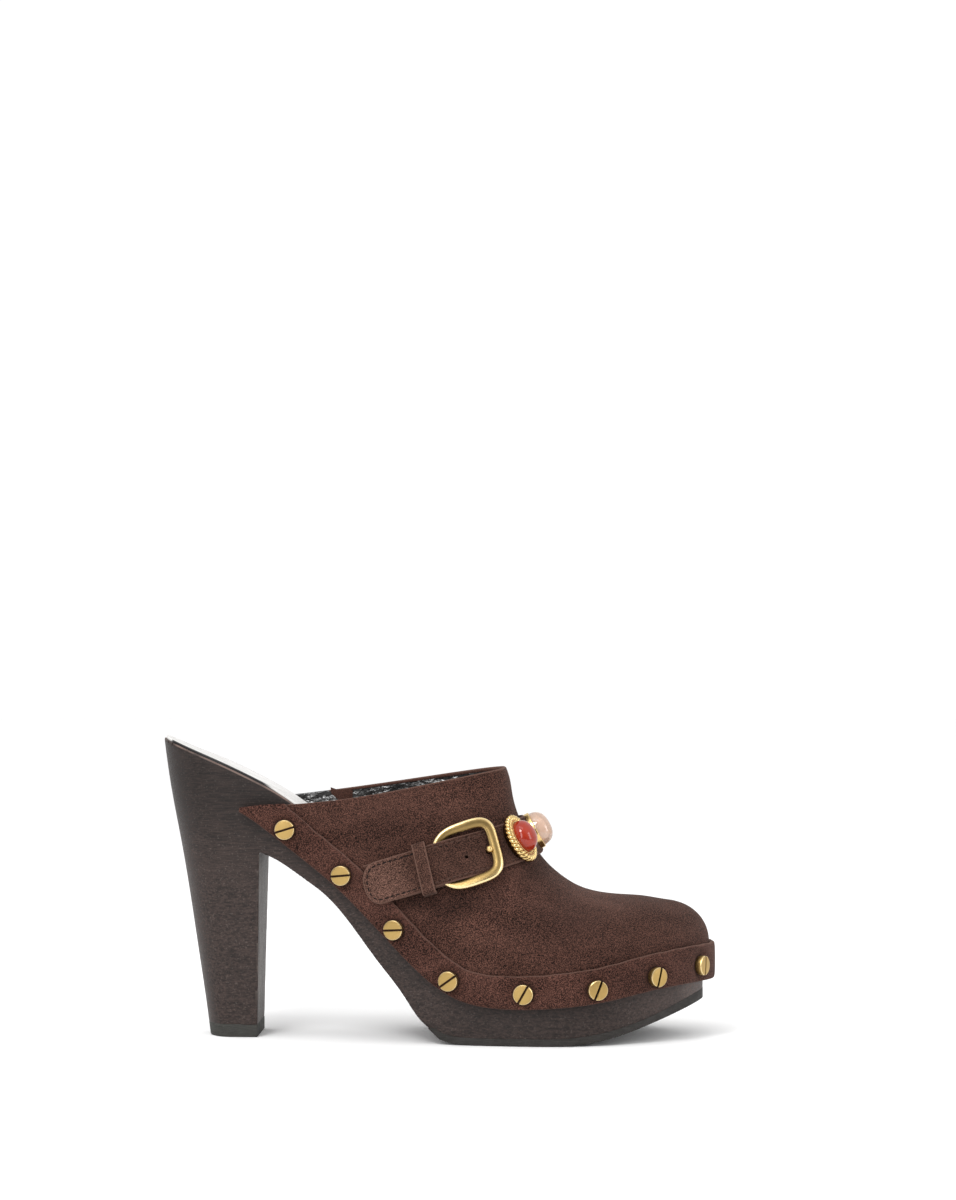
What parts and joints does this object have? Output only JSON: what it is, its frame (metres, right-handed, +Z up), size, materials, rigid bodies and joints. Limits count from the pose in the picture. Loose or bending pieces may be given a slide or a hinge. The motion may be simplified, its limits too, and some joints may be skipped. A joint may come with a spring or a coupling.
{
  "type": "platform clog",
  "caption": "Suede mule clog, right foot: high heel and platform carved from one dark wooden sole, screwed rand, buckled instep strap with oval stones",
  "frame": {"origin": "middle of the bounding box, on the floor", "axes": "+X from heel to toe, +Y to the medial side of the right foot, +Z up"},
  "size_m": [0.226, 0.0988, 0.1223],
  "materials": {
    "wood": "dark stain, satin, fine grain",
    "sole_rubber": "matt",
    "heel_rubber": "matt",
    "insole_leather": "smooth, pale grey",
    "suede": "brown suede with black lining inside",
    "rand_suede": "brown suede, slightly redder",
    "strap_suede": "brown suede with dark stitching",
    "brass": "antique gold",
    "coral": "polished red cabochon",
    "rose": "polished rose cabochon"
  },
  "bodies": {
    "root": {"wood_sole": "wood", "outsole": "sole_rubber", "heel_top_lift": "heel_rubber", "insole": "insole_leather", "upper": "suede", "rand_band": "rand_suede", "instep_strap": "strap_suede", "buckle_strap": "strap_suede", "keeper_loop": "strap_suede", "buckle_frame": "brass", "buckle_prong": "brass", "red_stone": "coral", "red_stone_bezel": "brass", "pink_stone": "rose", "pink_stone_bezel": "brass", "screw_lateral_1": "brass", "screw_lateral_2": "brass", "screw_lateral_3": "brass", "screw_lateral_4": "brass", "screw_lateral_5": "brass", "screw_lateral_6": "brass", "screw_lateral_7": "brass", "screw_lateral_8": "brass", "screw_medial_1": "brass", "screw_medial_2": "brass", "screw_medial_3": "brass", "screw_medial_4": "brass", "screw_medial_5": "brass", "screw_medial_6": "brass", "screw_medial_7": "brass", "screw_medial_8": "brass"}
  },
  "joints": []
}
